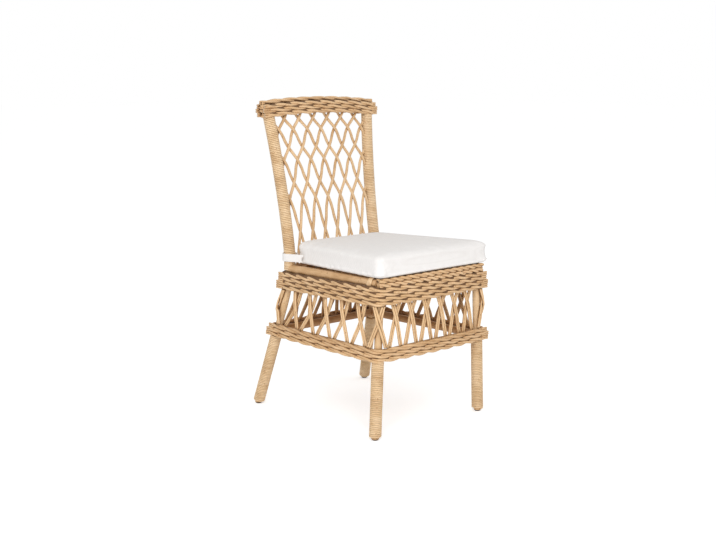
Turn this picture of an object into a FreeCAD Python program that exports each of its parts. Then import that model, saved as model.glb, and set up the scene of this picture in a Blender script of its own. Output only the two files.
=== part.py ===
import FreeCAD, Part
import functools
import math
import os
from FreeCAD import Vector

# A rattan dining chair: bound poles, a skirt of crossed double canes between two braided
# rings, a crossed-cane back under a braided top rail, a woven seat and a tied-on cushion.
# Millimetres. +X is to the right seen from the front, the front faces -Y, +Z is up.

# Overall
overall_depth = 536.0
touch_gap = 0.35

# Poles and the cane bound round them
pole_radius = 10.5
binding_strand = 5.6
binding_loops = 24
binding_pitch = 8.2
binding_start = 9.0
post_binding_bottom = 431.0
post_binding_top = 833.0

# Front legs
front_foot_half_spacing = 203.5
front_top_half_spacing = 186.0
front_leg_top = 433.0

# Back posts: a straight foot, a bend at the seat and a leaning upper half
back_foot_half_spacing = 213.5
knee_height = 310.0
knee_half_spacing = 177.5
knee_y = 168.5
waist_height = 480.0
waist_half_spacing = 167.0
waist_y = 161.5
waist_lean = 0.16
post_top_height = 873.6
post_top_half_spacing = 193.5
post_top_y = 223.5
post_top_flare = 0.13
post_top_lean = 0.155

# Foot glides
glide_radius = 9.0
glide_thickness = 4.0
glide_pin_radius = 1.5
glide_pin_length = 16.0
glide_rim_height = 2.2
glide_shoulder = 0.5

# Rails
seat_rail_radius = 10.5
seat_rail_height = 421.0
side_rail_radius = 12.5
side_rail_drop = 2.0
side_rail_outset = 1.6
seat_fall = 0.027
lower_rail_radius = 11.0
lower_rail_height = 229.0
lower_rail_inset = 8.0
top_rail_radius = 10.0
post_end_over_rail = 10.4
top_rail_height = post_top_height - post_end_over_rail
top_rail_arch = 9.0

# Frame screws
screw_radius = 2.1
screw_length = 55.0
screw_head_radius = 4.0
screw_head_depth = 3.0
screw_stagger = 4.0

# Braids: pairs of strands laid round each other
braid_strand = 5.6
braid_swing = 3.0
braid_turns = 4
upper_braid_rows = 4
upper_braid_bottom = 362.0
lower_braid_rows = 3
lower_braid_bottom = 212.0
braid_row_step = 12.0
border_rows = 2
border_bottom = 410.5
border_turns = 7
top_braid_rows = 3
top_braid_bottom = 838.0
cap_strand = 5.0
cap_swing = 2.7
front_bow = 8.0
side_bow = 3.0
back_bow = 3.0
top_bow = 2.0

# Skirt canes: each stroke is two thin canes side by side
skirt_cane = 6.0
skirt_cane_weave_gap = 0.7
skirt_cane_clearance = 0.45
back_cane_clearance = 1.5
skirt_units_front = 7
skirt_units_side = 6
skirt_cane_top = 374.0
skirt_cane_bottom = 240.0
skirt_crossing_height = 320.0
skirt_top_spread = 0.27
skirt_foot_pinch = 1.0
corner_cane_top_spread = 0.2
corner_cane_bottom_spread = 0.42
corner_cane_steps = 4

# Back lattice
lattice_cane = 6.8
lattice_weave_gap = 0.7
lattice_units = 7
lattice_shift_units = 3.5
lattice_crossing_height = 522.0
lattice_steepness = 0.58
lattice_foot_splay = 0.6

# Woven seat
slat_count = 5
slat_width = 20.0
slat_thickness = 3.0
slat_spacing = 62.0
weft_cane = 6.0
weft_pitch = 12.5
weave_lift = 2.0
weave_gap = 0.8

# Binding round the front end of each side rail
rail_binding_strand = 2.6
rail_binding_pitch = 4.0
rail_binding_loops = 4
rail_binding_from_leg = 20.0

# Cushion
cushion_front_half_width = 218.0
cushion_back_half_width = 160.0
cushion_overhang = 30.0
cushion_back_y = 143.0
cushion_thickness = 54.0
cushion_crown = 10.0
cushion_pinch = 2.5
cushion_edge_inset = 7.0
cushion_seam_share = 0.18
cushion_shoulder_inset = 55.0
cushion_shoulder_rise = 7.5
cushion_summit_inset = 95.0
cushion_front_corner = 17.0
cushion_back_corner = 18.0
cover_thickness = 1.2

# Ties
tie_height = 443.0
tie_width = 22.0
tie_thickness = 1.5
tie_slack = 2.8
tie_root_inset = 6.0
tie_root_setback = 40.0
tie_root_radius = 4.0

UP = Vector(0, 0, 1)
binding_radius = pole_radius + touch_gap + binding_strand / 2
wrapped_radius = pole_radius + touch_gap + binding_strand
braid_thickness = 2 * braid_swing + braid_strand
braid_offset = pole_radius + touch_gap + braid_thickness / 2
front_leg_y = -overall_depth / 2 + braid_offset + braid_thickness / 2 + front_bow
foot_share = binding_start / knee_height
back_foot_y = (overall_depth / 2 - wrapped_radius - knee_y * foot_share) / (1 - foot_share)
top_braid_top = top_braid_bottom + (top_braid_rows - 1) * braid_row_step + braid_thickness
side_rail_height = seat_rail_height - side_rail_drop
cushion_base = side_rail_height + side_rail_radius + 2 * touch_gap + rail_binding_strand


# Paths of lines and arcs

def unit(vector):
    return vector * (1.0 / vector.Length)


def arc_leaving(start, direction, end):
    """An arc, or a line, that leaves start along direction and ends at end."""
    chord = end - start
    sideways = chord - direction * chord.dot(direction)
    if sideways.Length < 1e-5 * chord.Length:
        return Part.LineSegment(start, end).toShape()
    normal = unit(sideways)
    radius = chord.dot(chord) / (2 * chord.dot(normal))
    centre = start + normal * radius
    middle = unit((start - centre) + (end - centre)) * radius
    if chord.dot(direction) < 0:
        middle = middle * -1
    return Part.Arc(start, centre + middle, end).toShape()


def arc_arriving(start, end, direction):
    """An arc, or a line, from start that arrives at end along direction."""
    back = arc_leaving(end, direction * -1, start)
    if back.Curve.TypeId == "Part::GeomLine":
        return Part.LineSegment(start, end).toShape()
    middle = back.valueAt((back.FirstParameter + back.LastParameter) / 2)
    return Part.Arc(start, middle, end).toShape()


def biarc(start, leaving, end, arriving):
    """Two arcs that join two points smoothly."""
    chord = end - start
    turn = 1 - leaving.dot(arriving)
    along = chord.dot(leaving + arriving)
    if turn < 1e-9:
        reach = chord.dot(chord) / (2 * along)
    else:
        reach = (math.sqrt(along * along + 2 * turn * chord.dot(chord)) - along) / (2 * turn)
    joint = (start + leaving * reach + end - arriving * reach) * 0.5
    return [arc_leaving(start, leaving, joint), arc_arriving(joint, end, arriving)]


def smooth_path(nodes):
    """Biarcs through a list of points, each with the direction of travel there."""
    edges = []
    for (start, leaving), (end, arriving) in zip(nodes, nodes[1:]):
        edges += biarc(start, unit(leaving), end, unit(arriving))
    return edges


def path_length(edges):
    return sum(edge.Length for edge in edges)


def point_on(edges, distance):
    """The point and the direction of travel at a distance along a path."""
    left = distance
    for edge in edges:
        if left <= edge.Length or edge is edges[-1]:
            where = edge.getParameterByLength(min(max(left, 0.0), edge.Length))
            return edge.valueAt(where), unit(edge.tangentAt(where))
        left -= edge.Length


def distance_at_height(edges, height):
    """How far along a rising path a height is reached."""
    low, high = 0.0, path_length(edges)
    for _ in range(40):
        middle = (low + high) / 2
        if point_on(edges, middle)[0].z < height:
            low = middle
        else:
            high = middle
    return low


def at_height(edges, height):
    """The point and direction on a rising path at a height, beyond its ends if need be."""
    point, direction = point_on(edges, distance_at_height(edges, height))
    return point + direction * ((height - point.z) / direction.z), direction


def tube(edges, radius):
    """A round rod along a path."""
    first = edges[0]
    profile = Part.Circle(first.valueAt(first.FirstParameter), first.tangentAt(first.FirstParameter), radius)
    rod = Part.Wire(edges).makePipeShell([Part.Wire(profile.toShape())], True, False)
    return rod.Solids[0]


def rod_between(start, end, radius):
    return Part.makeCylinder(radius, (end - start).Length, start, end - start)


# Poles

def leg_axis(corner):
    """The centre line of a leg: corners are (side, end), side -1 or 1, end front or back."""
    side, end = corner
    if end == "front":
        slope = (front_top_half_spacing - front_foot_half_spacing) / seat_rail_height
        top_x = front_foot_half_spacing + slope * front_leg_top
        foot = Vector(side * front_foot_half_spacing, front_leg_y, 0)
        return [Part.LineSegment(foot, Vector(side * top_x, front_leg_y, front_leg_top)).toShape()]
    foot = Vector(side * back_foot_half_spacing, back_foot_y, 0)
    knee = Vector(side * knee_half_spacing, knee_y, knee_height)
    waist = Vector(side * waist_half_spacing, waist_y, waist_height)
    top = Vector(side * post_top_half_spacing, post_top_y, post_top_height)
    bend = [(knee, knee - foot), (waist, Vector(0, waist_lean, 1)),
            (top, Vector(side * post_top_flare, post_top_lean, 1))]
    return [Part.LineSegment(foot, knee).toShape()] + smooth_path(bend)


CORNERS = [(-1, "front"), (1, "front"), (1, "back"), (-1, "back")]
AXES = {corner: leg_axis(corner) for corner in CORNERS}
SIDE_NAMES = {-1: "left", 1: "right"}


def seat_height(height, y):
    """A height at the front leg line carried back down the fall of the seat."""
    return height - seat_fall * (y - front_leg_y)


@functools.lru_cache(maxsize=None)
def leg_at(corner, height, falls):
    """Where a leg passes a level, which follows the fall of the seat if asked."""
    if not falls:
        return at_height(AXES[corner], height)
    point, _ = at_height(AXES[corner], height)
    return at_height(AXES[corner], seat_height(height, point.y))


def make_pole(corner):
    below = Part.makeBox(2 * overall_depth, 2 * overall_depth, 2 * glide_thickness)
    below.translate(Vector(-overall_depth, -overall_depth, -glide_thickness))
    foot, _ = at_height(AXES[corner], -glide_thickness)
    stub = Part.LineSegment(foot, at_height(AXES[corner], 0)[0]).toShape()
    return tube([stub] + AXES[corner], pole_radius).cut(below)


def make_glide(corner, grow):
    """A foot disc with rounded rim and a pin that drives into the pole."""
    foot, _ = at_height(AXES[corner], glide_thickness)
    sole = Vector(glide_radius - glide_thickness / 2, 0, 0)
    rim = Vector(glide_radius, 0, glide_rim_height)
    shoulder = Vector(glide_radius - glide_shoulder, 0, glide_thickness)
    pin = glide_pin_radius + grow
    pin_top = glide_thickness + glide_pin_length + grow
    under = Part.LineSegment(Vector(0, 0, 0), sole).toShape()
    bulge = Part.Arc(sole, rim, shoulder).toShape()
    rest = Part.makePolygon([shoulder, Vector(pin, 0, glide_thickness), Vector(pin, 0, pin_top),
                             Vector(0, 0, pin_top), Vector(0, 0, 0)])
    profile = Part.Face(Part.Wire([under, bulge] + rest.Edges))
    glide = profile.revolve(Vector(0, 0, 0), UP, 360)
    glide.translate(Vector(foot.x, foot.y, 0))
    return glide.Solids[0]


def winding(axis, start, end, loops, radius, strand):
    """One strand wound in even loops round a path, from one distance along it to another."""
    steps = 2 * loops
    nodes = []
    for step in range(steps + 1):
        centre, direction = point_on(axis, start + (end - start) * step / steps)
        across = unit(direction.cross(Vector(0, 1, 0) if abs(direction.y) < 0.7 else UP))
        turn = 1 if step % 2 == 0 else -1
        nodes.append((centre + across * (turn * radius), direction.cross(across) * turn))
    first, leaving = nodes[0]
    last, arriving = nodes[-1]
    lead_in = Part.LineSegment(first - leaving * strand, first).toShape()
    lead_out = Part.LineSegment(last, last + arriving * strand).toShape()
    edges = [lead_in] + smooth_path(nodes) + [lead_out]
    return tube(edges, strand / 2), winding_gap(edges, steps, strand)


def winding_gap(edges, steps, strand):
    """The least clear gap between neighbouring loops, measured on points."""
    samples = 6 * steps
    length = path_length(edges)
    points = [point_on(edges, length * i / samples)[0] for i in range(samples + 1)]
    loop = samples * 2 // (steps + 1)
    least = length
    for i, point in enumerate(points):
        for other in points[i + loop // 2:i + 2 * loop]:
            least = min(least, point.distanceToPoint(other))
    return least - strand


# Rails and screws

def cope(corner, height):
    """The round socket that a rail end is shaped to where it meets a pole."""
    centre, direction = at_height(AXES[corner], height)
    reach = 4 * pole_radius
    return Part.makeCylinder(pole_radius + touch_gap, 2 * reach, centre - direction * reach, direction)


def screw_body(head, direction, grow):
    """A countersunk wood screw, or the hole for it when grown."""
    shank = Part.makeCylinder(screw_radius + grow, screw_length + grow, head, direction)
    cone = Part.makeCone(screw_head_radius + grow, screw_radius + grow, screw_head_depth, head, direction)
    mouth = Part.makeCylinder(screw_head_radius + grow, pole_radius, head - direction * pole_radius, direction)
    return shank.fuse(cone), mouth


def make_rail(first, second, height, falls, radius, outset, screw_rise, neighbours):
    """A pole between two legs, coped to both and to its neighbours, and the screws of its ends."""
    start = leg_at(first, height, falls)[0]
    end = leg_at(second, height, falls)[0]
    run = unit(end - start)
    shift = Vector(run.y, -run.x, 0) * outset
    clear = run * (pole_radius / 2)
    rail = rod_between(start + shift + clear, end + shift - clear, radius)
    rail = rail.cut([cope(first, start.z), cope(second, end.z)] + neighbours)
    screws = []
    for point, inward, corner in ((start, run, first), (end, run * -1, second)):
        head = point + UP * screw_rise - inward * (pole_radius - screw_head_depth)
        screws.append((corner, head, inward))
    return rail.Solids[0], screws


def rail_socket(first, second, height, falls, radius, outset):
    """The room that a rail takes, for a neighbour to be coped to."""
    start = leg_at(first, height, falls)[0]
    end = leg_at(second, height, falls)[0]
    run = unit(end - start)
    shift = Vector(run.y, -run.x, 0) * outset
    return rod_between(start + shift, end + shift, radius + touch_gap)


def make_top_rail():
    """The arched pole between the post tops."""
    left, right = (-1, "back"), (1, "back")
    start = leg_at(left, top_rail_height, False)[0]
    end = leg_at(right, top_rail_height, False)[0]
    rail = tube([top_rail_arc()], top_rail_radius)
    rail = rail.cut([cope(left, start.z), cope(right, end.z)])
    run = Vector(1, 0, 0)
    screws = [(left, start - run * (pole_radius - screw_head_depth), run),
              (right, end + run * (pole_radius - screw_head_depth), run * -1)]
    return rail.Solids[0], screws


# Braided runs

def side_run(first, second, outward, mitres, offset, bow):
    """A bowed run outside two corner points, from one mitre to the next."""
    middle = (first + second) * 0.5
    half = (second - first).Length / 2
    reach = (half * half + bow * bow) / (2 * bow)
    centre = middle - outward * (reach - bow)
    leave, arrive = unit(first - centre), unit(second - centre)
    start = first + mitres[0] * offset
    begin = first + leave * offset
    finish = second + arrive * offset
    end = second + mitres[1] * offset
    near = first + unit(mitres[0] + leave) * offset
    far = second + unit(mitres[1] + arrive) * offset
    return [Part.Arc(start, near, begin).toShape(),
            Part.Arc(begin, middle + outward * (bow + offset), finish).toShape(),
            Part.Arc(finish, far, end).toShape()]


SKIRT_SIDES = {"front": (0, 1, front_bow), "right": (1, 2, side_bow),
               "back": (2, 3, back_bow), "left": (3, 0, side_bow)}


def flat(vector):
    return Vector(vector.x, vector.y, 0)


@functools.lru_cache(maxsize=None)
def skirt_run(name, height, falls, offset):
    """The run of one side of the skirt at a level, drawn flat at height zero."""
    points = [flat(leg_at(corner, height, falls)[0]) for corner in CORNERS]
    outs = []
    for index in range(4):
        along = unit(points[(index + 1) % 4] - points[index])
        outs.append(Vector(along.y, -along.x, 0))
    first, second, bow = SKIRT_SIDES[name]
    mitres = (unit(outs[first - 1] + outs[first]), unit(outs[first] + outs[second]))
    return side_run(points[first], points[second], outs[first], mitres, offset, bow)


def run_distances(edges, turns):
    """Distances along a run at which a strand's place is set: closer at the corners."""
    lengths = [edge.Length for edge in edges]
    steps = 2 * turns
    distances = [0.0, lengths[0] / 2]
    distances += [lengths[0] + lengths[1] * step / steps for step in range(steps + 1)]
    return distances + [lengths[0] + lengths[1] + lengths[2] / 2, sum(lengths)]


def twined_pair(edges, lift, turns, strand, swing, lag):
    """Two strands laid round each other along a flat run, lifted to height by lift(point).

    Lag is the twist, in quarter turns, that the pair starts with.
    Places are set twice a turn, and the slope there is raised by 4 / pi, so that the arcs
    between them swing out as far as a true twist does.
    """
    length = path_length(edges)
    rate = 2 * math.pi * turns / length
    sway = swing * rate * 4 / math.pi
    strands = []
    for phase in (0, math.pi):
        nodes = []
        for distance in run_distances(edges, turns):
            point, along = point_on(edges, distance)
            out = Vector(along.y, -along.x, 0)
            angle = phase + lag * math.pi / 2 + rate * distance
            rise = lift(point + along * 0.5) - lift(point - along * 0.5)
            place = point + out * (swing * math.sin(angle)) + UP * (lift(point) + swing * math.cos(angle))
            travel = along + out * (sway * math.cos(angle))
            nodes.append((place, travel + UP * (rise - sway * math.sin(angle))))
        strands.append(tube(smooth_path(nodes), strand / 2))
    return strands


def make_skirt_braid(name, bottom, rows, turns, falls):
    """The braid rows of one side of the skirt."""
    strands = []
    for row in range(rows):
        height = bottom + braid_row_step * row + braid_thickness / 2
        run = skirt_run(name, height, falls, braid_offset)
        if falls:
            strands += twined_pair(
                run, lambda p: seat_height(height, p.y), turns, braid_strand, braid_swing, row)
        else:
            strands += twined_pair(run, lambda p: height, turns, braid_strand, braid_swing, row)
    return strands


def top_lift(height):
    """The arch of the top rail as a height over x."""
    def lift(point):
        across = point.x / post_top_half_spacing
        return height + top_rail_arch * (1 - across * across)
    return lift


def make_top_braid(outward):
    """The braid rows on the front or the back of the top rail, curled round the post tops."""
    strands = []
    for row in range(top_braid_rows):
        height = top_braid_bottom + braid_row_step * row + braid_thickness / 2
        ends = [flat(leg_at((side, "back"), height, False)[0]) for side in (-1, 1)]
        mitres = [Vector(-1, 0, 0), Vector(1, 0, 0)]
        if outward.y > 0:
            ends.reverse()
            mitres.reverse()
        run = side_run(ends[0], ends[1], outward, mitres, braid_offset, top_bow)
        strands += twined_pair(run, top_lift(height), braid_turns, braid_strand, braid_swing, row)
    return strands


def make_cap_braid():
    """Two narrow rows that close the top between the front and back rows."""
    strands = []
    row_offset = cap_swing + cap_strand / 2 + touch_gap / 2
    height = top_braid_top + 2 * touch_gap + cap_swing + cap_strand / 2
    for side in (-1, 1):
        ends = [flat(leg_at((end, "back"), height, False)[0]) + Vector(0, side * row_offset, 0)
                for end in (-1, 1)]
        overhang = Vector(braid_offset, 0, 0)
        points = [ends[0] - overhang, ends[0], ends[1], ends[1] + overhang]
        run = [Part.LineSegment(a, b).toShape() for a, b in zip(points, points[1:])]
        strands += twined_pair(run, top_lift(height), braid_turns, cap_strand, cap_swing, 0)
    return strands


# Skirt canes

def skirt_point(name, distance, from_end, height, offset):
    """A point on the skirt, at a distance from either mitre of a side."""
    falls = height > (upper_braid_bottom + lower_braid_bottom) / 2
    run = skirt_run(name, height, falls, offset)
    length = path_length(run)
    point, along = point_on(run, length - distance if from_end else distance)
    level = seat_height(height, point.y) if falls else height
    return point + UP * level, Vector(along.y, -along.x, 0)


def stroke_nodes(places):
    """Points with travel directions taken from their neighbours."""
    nodes = []
    for index, place in enumerate(places):
        before = places[max(index - 1, 0)]
        after = places[min(index + 1, len(places) - 1)]
        nodes.append((place, after - before))
    return nodes


def make_skirt_canes(name, units):
    """The crossed double canes of one side, between its corners."""
    canes = []
    clearance = back_cane_clearance if name == "back" else skirt_cane_clearance
    offset = braid_offset - braid_thickness / 2 - clearance - skirt_cane / 2
    top_run = skirt_run(name, skirt_cane_top, True, offset)
    bottom_run = skirt_run(name, skirt_cane_bottom, False, offset)
    top_unit = path_length(top_run) / units
    bottom_unit = path_length(bottom_run) / units
    drop = skirt_cane_top - skirt_cane_bottom
    slope = math.hypot((skirt_top_spread + 0.5) * top_unit, drop) / drop
    pair = (skirt_cane + touch_gap) * slope
    layer = (skirt_cane + skirt_cane_weave_gap) / 2
    share = (skirt_cane_top - skirt_crossing_height) / drop
    for crossing in range(1, units):
        for slant in (-1, 1):
            for twin in (-0.5, 0.5):
                start = top_unit * (crossing - slant * skirt_top_spread) + twin * pair
                meet = bottom_unit * (crossing + slant * 0.5) - slant * pair * skirt_foot_pinch + twin * pair
                cross = top_unit * crossing * (1 - share) + bottom_unit * crossing * share + twin * pair
                top, _ = skirt_point(name, start, False, skirt_cane_top, offset)
                middle, out = skirt_point(name, cross, False, skirt_crossing_height, offset)
                bottom, _ = skirt_point(name, meet, False, skirt_cane_bottom, offset)
                nodes = stroke_nodes([top, middle + out * (slant * layer), bottom])
                nodes = [(place, along - out * along.dot(out) + out * (bottom - top).dot(out) * 0.5)
                         for place, along in nodes]
                canes.append(tube(smooth_path(nodes), skirt_cane / 2))
    return canes


def corner_point(before, after, distance, height, offset):
    """A point near a corner of the skirt: distance is negative before the mitre."""
    if distance < 0:
        return skirt_point(before, -distance, True, height, offset)[0]
    return skirt_point(after, distance, False, height, offset)[0]


def make_corner_canes(before, after, unit_before, unit_after):
    """The crossed double canes that pass outside a leg, from one side of the skirt to the next."""
    canes = []
    inner = pole_radius + 2 * touch_gap + skirt_cane / 2
    outer = inner + skirt_cane + skirt_cane_weave_gap
    top = upper_braid_bottom - skirt_cane / 4
    bottom = lower_braid_bottom + lower_braid_rows * braid_row_step + skirt_cane / 2
    slope = math.hypot((corner_cane_top_spread + corner_cane_bottom_spread) * unit_before, top - bottom)
    pair = (skirt_cane + touch_gap) * slope / (top - bottom)
    for slant in (-1, 1):
        radius = outer if slant > 0 else inner
        top_unit, bottom_unit = (unit_before, unit_after) if slant > 0 else (unit_after, unit_before)
        for twin in (-0.5, 0.5):
            reach = bottom_unit * corner_cane_bottom_spread
            stops = [(-slant * top_unit * corner_cane_top_spread, top, braid_offset),
                     (0.0, skirt_crossing_height, radius)]
            for step in range(1, corner_cane_steps + 1):
                share = step / corner_cane_steps
                level = skirt_crossing_height + (bottom - skirt_crossing_height) * share
                stops.append((slant * reach * share, level, radius + (braid_offset - radius) * share))
            places = [corner_point(before, after, stop + twin * pair, level, offset)
                      for stop, level, offset in stops]
            canes.append(tube(smooth_path(stroke_nodes(places)), skirt_cane / 2))
    return canes


# Back lattice

def lattice_top():
    return top_rail_height + top_rail_arch


def lattice_shift(level):
    """How far a cane has moved across at a level, as a share of its whole shift."""
    if level < 0:
        return lattice_steepness * lattice_foot_splay * level
    return lattice_steepness * level + (1 - lattice_steepness) * level * level


def level_of_shift(shift):
    bend = 1 - lattice_steepness
    return (math.sqrt(lattice_steepness ** 2 + 4 * bend * shift) - lattice_steepness) / (2 * bend)


def lattice_place(across, level):
    """A point of the back's surface and its normal: across from post to post, level up it."""
    height = lattice_crossing_height + level * (lattice_top() - lattice_crossing_height)
    right, direction = at_height(AXES[(1, "back")], height)
    normal = unit(Vector(0, -direction.z, direction.y))
    return Vector((2 * across - 1) * right.x, right.y, height), normal


def make_lattice_canes(slant):
    """The canes of the back that rise to one side, over and under those of the other."""
    foot = seat_height(seat_rail_height, waist_y)
    low_level = (foot - lattice_crossing_height) / (lattice_top() - lattice_crossing_height)
    layer = (lattice_cane + lattice_weave_gap) / 2
    reach = lattice_shift_units / lattice_units
    canes = []
    first = 1 - math.ceil(lattice_shift_units)
    for index in range(first, lattice_units):
        nodes = []
        base = index / lattice_units

        def place(level, weave):
            across = base + reach * lattice_shift(level)
            point, normal = lattice_place(across if slant > 0 else 1 - across, level)
            return point + normal * weave

        for other in range(2 * lattice_units + 1):
            step = other - index
            level = level_of_shift(step / (2 * lattice_shift_units)) if step >= 0 else -1
            if step < 0 or level > 1.001 or not 0 <= (index + other) / (2 * lattice_units) <= 1:
                continue
            side = 1 if (index + other) % 2 == 0 else -1
            nodes.append((level, slant * side * layer))
        if index > 0:
            nodes.insert(0, (low_level, -nodes[0][1]))
        places = [place(*node) for node in nodes]
        steps = [(places[i], place(nodes[i][0] + 0.01, nodes[i][1]) - places[i]) for i in range(len(nodes))]
        canes.append(trimmed_cane(smooth_path(steps)))
    return canes


def post_socket(edges, from_top):
    """The round socket where a cane of the back meets a bound post, lined up with the post there."""
    length = path_length(edges)
    step = wrapped_radius / 8
    distance = 0.0
    point = point_on(edges, length if from_top else 0.0)[0]
    corner = (1 if point.x > 0 else -1, "back")
    centre, direction = at_height(AXES[corner], point.z)
    while abs(centre.x) - abs(point.x) < wrapped_radius and distance < length:
        distance += step
        point = point_on(edges, length - distance if from_top else distance)[0]
        centre, direction = at_height(AXES[corner], point.z)
    reach = 5 * wrapped_radius
    return Part.makeCylinder(wrapped_radius + touch_gap, 2 * reach, centre - direction * reach, direction)


def top_rail_arc():
    start = leg_at((-1, "back"), top_rail_height, False)[0]
    end = leg_at((1, "back"), top_rail_height, False)[0]
    return Part.Arc(start, (start + end) * 0.5 + UP * top_rail_arch, end).toShape()


def top_rail_socket(point):
    """The round socket of the top rail above a cane."""
    arc = top_rail_arc()
    where = arc.Curve.parameter(point)
    direction = unit(arc.tangentAt(where))
    reach = 4 * top_rail_radius
    return Part.makeCylinder(
        top_rail_radius + touch_gap, 2 * reach, arc.valueAt(where) - direction * reach, direction)


def trimmed_cane(edges):
    """A cane of the back, cut to the posts and rails that it ends against."""
    low = point_on(edges, 0.0)[0]
    high = point_on(edges, path_length(edges))[0]
    if low.z < lattice_crossing_height - lattice_cane:
        ends = [leg_at((side, "back"), seat_rail_height, True)[0] for side in (-1, 1)]
        sockets = [rod_between(ends[0], ends[1], seat_rail_radius + touch_gap)]
    else:
        sockets = [post_socket(edges, False)]
    if high.z > top_rail_height - top_rail_radius:
        sockets.append(top_rail_socket(high))
    post = at_height(AXES[(1, "back")], high.z)[0]
    if post.x - abs(high.x) < wrapped_radius + lattice_cane:
        sockets.append(post_socket(edges, True))
    pieces = tube(edges, lattice_cane / 2).cut(sockets).Solids
    return max(pieces, key=lambda piece: piece.Volume)


# Woven seat

def seat_corner(corner):
    return leg_at(corner, seat_rail_height, True)[0]


def make_slats():
    """Flat strips from the front rail to the back rail."""
    slats = []
    front = seat_corner((1, "front"))
    back = seat_corner((1, "back"))
    clear = seat_rail_radius + touch_gap
    tilt = math.degrees(math.atan(seat_fall))
    length = back.y - front.y - 2 * clear
    for index in range(slat_count):
        x = (index - (slat_count - 1) / 2) * slat_spacing
        slat = Part.makeBox(slat_width, length, slat_thickness)
        slat.translate(Vector(x - slat_width / 2, 0, -slat_thickness / 2))
        slat.rotate(Vector(0, 0, 0), Vector(1, 0, 0), -tilt)
        slat.translate(Vector(0, front.y + clear, seat_height(front.z + weave_lift, front.y + clear)))
        slats.append(slat)
    return slats


def make_wefts():
    """Round canes from side rail to side rail, over and under the slats."""
    wefts = []
    front = seat_corner((1, "front"))
    back = seat_corner((1, "back"))
    swing = (weft_cane + slat_thickness) / 2 + weave_gap
    binding_end = rail_binding_from_leg + rail_binding_loops * rail_binding_pitch + 2 * rail_binding_strand
    begin = front.y + pole_radius + binding_end
    finish = back.y - wrapped_radius - weft_cane
    count = int((finish - begin) / weft_pitch)
    for index in range(count + 1):
        y = begin + index * weft_pitch
        rail_x = front.x + (back.x - front.x) * (y - front.y) / (back.y - front.y)
        end_x = rail_x + side_rail_outset - side_rail_radius - 2 * touch_gap
        height = seat_height(front.z + weave_lift, y)
        nodes = [(Vector(-end_x, y, height), Vector(1, 0, 0))]
        for slat in range(slat_count):
            x = (slat - (slat_count - 1) / 2) * slat_spacing
            side = 1 if (slat + index) % 2 == 0 else -1
            nodes.append((Vector(x, y, height + side * swing), Vector(1, 0, 0)))
        nodes.append((Vector(end_x, y, height), Vector(1, 0, 0)))
        wefts.append(tube(smooth_path(nodes), weft_cane / 2))
    return wefts


def make_rail_binding(side):
    """A few turns of thin cane round the front end of a side rail."""
    front = leg_at((side, "front"), side_rail_height, True)[0]
    back = leg_at((side, "back"), side_rail_height, True)[0]
    run = unit(back - front)
    out = Vector(run.y, -run.x, 0) * (side * side_rail_outset)
    start = front + out + run * rail_binding_from_leg
    axis = [Part.LineSegment(start, start + run * (rail_binding_loops * rail_binding_pitch)).toShape()]
    radius = side_rail_radius + touch_gap + rail_binding_strand / 2
    return winding(axis, 0, axis[0].Length, rail_binding_loops, radius, rail_binding_strand)


# Cushion

def cushion_outline(inset, height):
    """A rounded trapezoid, drawn in by an inset."""
    front_y = front_leg_y - cushion_overhang + inset
    back_y = cushion_back_y - inset
    slope = math.atan2(cushion_front_half_width - cushion_back_half_width,
                       cushion_back_y - front_leg_y + cushion_overhang)
    trim = inset / math.cos(slope)
    taper = math.tan(slope)
    front_x = cushion_front_half_width - trim - taper * inset
    back_x = cushion_back_half_width - trim + taper * inset
    corners = [(Vector(-front_x, front_y, height), cushion_front_corner),
               (Vector(front_x, front_y, height), cushion_front_corner),
               (Vector(back_x, back_y, height), cushion_back_corner),
               (Vector(-back_x, back_y, height), cushion_back_corner)]
    edges = []
    ends = []
    for index, (corner, radius) in enumerate(corners):
        before = unit(corners[index - 1][0] - corner)
        after = unit(corners[(index + 1) % 4][0] - corner)
        half = math.acos(before.dot(after)) / 2
        setback = radius / math.tan(half)
        bisector = unit(before + after)
        middle = corner + bisector * (radius / math.sin(half) - radius)
        ends.append((corner + before * setback, middle, corner + after * setback))
    for index, (enter, middle, leave) in enumerate(ends):
        edges.append(Part.Arc(enter, middle, leave).toShape())
        edges.append(Part.LineSegment(leave, ends[(index + 1) % 4][0]).toShape())
    return Part.Wire(edges)


def cushion_body(grow):
    """The cushion's form: a flat base, sides drawn in between two seams and a crowned top."""
    full = cushion_thickness
    levels = [(cushion_edge_inset, 0.0), (0.0, cushion_seam_share), (cushion_pinch, 0.5),
              (0.0, 1 - cushion_seam_share), (cushion_edge_inset, 1.0)]
    wires = [cushion_outline(inset - grow, share * full) for inset, share in levels]
    wires[0].translate(UP * -grow)
    wires[-1].translate(UP * grow)
    shoulder = cushion_outline(cushion_shoulder_inset - grow, full + cushion_shoulder_rise + grow)
    summit = cushion_outline(cushion_summit_inset - grow, full + cushion_crown + grow)
    body = Part.makeLoft(wires + [shoulder, summit], True, True)
    body.rotate(Vector(0, front_leg_y, 0), Vector(1, 0, 0), -math.degrees(math.atan(seat_fall)))
    body.translate(UP * cushion_base)
    return body.Solids[0]


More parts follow.
